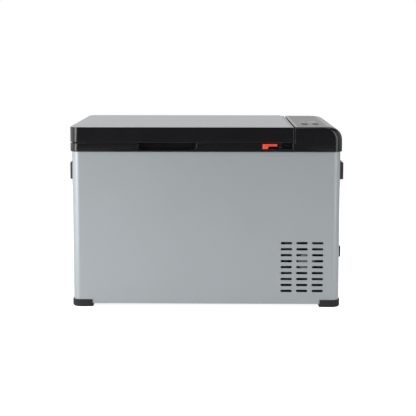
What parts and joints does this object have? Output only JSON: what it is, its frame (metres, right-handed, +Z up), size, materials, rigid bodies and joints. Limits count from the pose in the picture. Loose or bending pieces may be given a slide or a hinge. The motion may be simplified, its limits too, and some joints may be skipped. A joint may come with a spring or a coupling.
{
  "type": "compressor cooler fridge",
  "caption": "Portable compressor cooler: steel-cased insulated chest with a rear-hinged lid, slide latch, side grips, control housing, vents and corner feet.",
  "frame": {"origin": "on the floor under the middle of the overall box, hinges and side grips included", "axes": "+Z up, +X to the user's right along the long side, -Y towards the user who stands at the front"},
  "size_m": [0.613, 0.3765, 0.39],
  "materials": {
    "casing_steel": "satin silver-grey coated sheet",
    "lid_steel": "satin silver sheet",
    "band_plastic": "fine-textured moulded black",
    "panel_film": "gloss black overlay",
    "window_plastic": "smoked clear",
    "button_plastic": "soft-touch grey",
    "latch_plastic": "glossy red",
    "black_plastic": "moulded black",
    "foot_rubber": "moulded black rubber",
    "soft_rubber": "soft black rubber",
    "gasket_rubber": "soft grey sponge",
    "liner_plastic": "light grey thermoformed sheet",
    "lens_plastic": "frosted clear",
    "foam": "rigid foam",
    "zinc_steel": "zinc-plated",
    "screw_steel": "plain steel",
    "aluminium": "mill finish",
    "copper": "drawn copper",
    "contact_brass": "plated contacts",
    "compressor_paint": "black paint",
    "winding": "wound motor and pump",
    "board": "green circuit board",
    "wire_white": "white coated wire"
  },
  "bodies": {
    "root": {"outer_casing": "casing_steel", "rear_panel": "casing_steel", "rear_screws": "screw_steel", "base_pan": "black_plastic", "foam_block": "foam", "tub_liner": "liner_plastic", "bulkhead": "aluminium", "evaporator_sheet": "aluminium", "evaporator_tube": "aluminium", "top_band": "band_plastic", "control_panel": "panel_film", "display_window": "window_plastic", "control_board": "board", "fan_frame": "black_plastic", "fan_screws": "screw_steel", "condenser_fins": "aluminium", "condenser_tube": "copper", "condenser_bracket": "zinc_steel", "compressor_lower_shell": "compressor_paint", "compressor_upper_shell": "compressor_paint", "compressor_motor": "winding", "compressor_bracket": "zinc_steel", "compressor_grommets": "soft_rubber", "compressor_bolts": "zinc_steel", "inverter_module": "black_plastic", "filter_drier": "copper", "discharge_pipe": "copper", "suction_pipe": "copper", "liquid_line": "copper", "capillary_tube": "copper", "wiring_harness": "soft_rubber", "inlet_housing": "black_plastic", "inlet_contacts": "contact_brass", "handle_left": "black_plastic", "handle_right": "black_plastic", "handle_screws": "screw_steel", "foot_front_left": "foot_rubber", "foot_front_right": "foot_rubber", "foot_rear_left": "foot_rubber", "foot_rear_right": "foot_rubber", "foot_screws": "screw_steel", "hinge_leaves_band": "zinc_steel", "hinge_pins": "screw_steel", "light_lens": "lens_plastic"},
    "lid": {"lid_frame": "band_plastic", "lid_top_panel": "lid_steel", "lid_inner": "liner_plastic", "lid_foam": "foam", "lid_gasket": "gasket_rubber", "latch_keeper": "black_plastic", "hinge_leaves_lid": "zinc_steel"},
    "latch": {"latch_slider": "latch_plastic", "latch_retainer": "black_plastic"},
    "power_button": {"button_power": "button_plastic"},
    "set_button": {"button_set": "button_plastic"},
    "up_button": {"button_up": "button_plastic"},
    "down_button": {"button_down": "button_plastic"},
    "fan": {"fan_rotor": "black_plastic"},
    "wire_basket": {"basket": "wire_white"},
    "drain": {"drain_plug": "soft_rubber"}
  },
  "joints": [
    {"name": "lid_hinge", "type": "hinge", "parent": "root", "child": "lid", "pos_m": [-0.05175, 0.18325, 0.355], "axis": [-1, 0, 0], "range_deg": [0, 95]},
    {"name": "latch_slide", "type": "slide", "parent": "root", "child": "latch", "axis": [1, 0, 0], "range_m": [0, 0.02]},
    {"name": "power_button_press", "type": "slide", "parent": "root", "child": "power_button", "axis": [0, 0, -1], "range_m": [0, 0.0007], "stiffness_N_per_m": 800, "springref_m": -0.0005},
    {"name": "set_button_press", "type": "slide", "parent": "root", "child": "set_button", "axis": [0, 0, -1], "range_m": [0, 0.0007], "stiffness_N_per_m": 800, "springref_m": -0.0005},
    {"name": "up_button_press", "type": "slide", "parent": "root", "child": "up_button", "axis": [0, 0, -1], "range_m": [0, 0.0007], "stiffness_N_per_m": 800, "springref_m": -0.0005},
    {"name": "down_button_press", "type": "slide", "parent": "root", "child": "down_button", "axis": [0, 0, -1], "range_m": [0, 0.0007], "stiffness_N_per_m": 800, "springref_m": -0.0005},
    {"name": "fan_spin", "type": "hinge", "parent": "root", "child": "fan", "pos_m": [0.2152, -0.16695, 0.099], "axis": [0, 1, 0], "continuous": true},
    {"name": "basket_lift", "type": "slide", "parent": "root", "child": "wire_basket", "axis": [0, 0, 1], "range_m": [0, 0.09]},
    {"name": "drain_plug_pull", "type": "slide", "parent": "root", "child": "drain", "axis": [0, 1, 0], "range_m": [0, 0.03]}
  ]
}
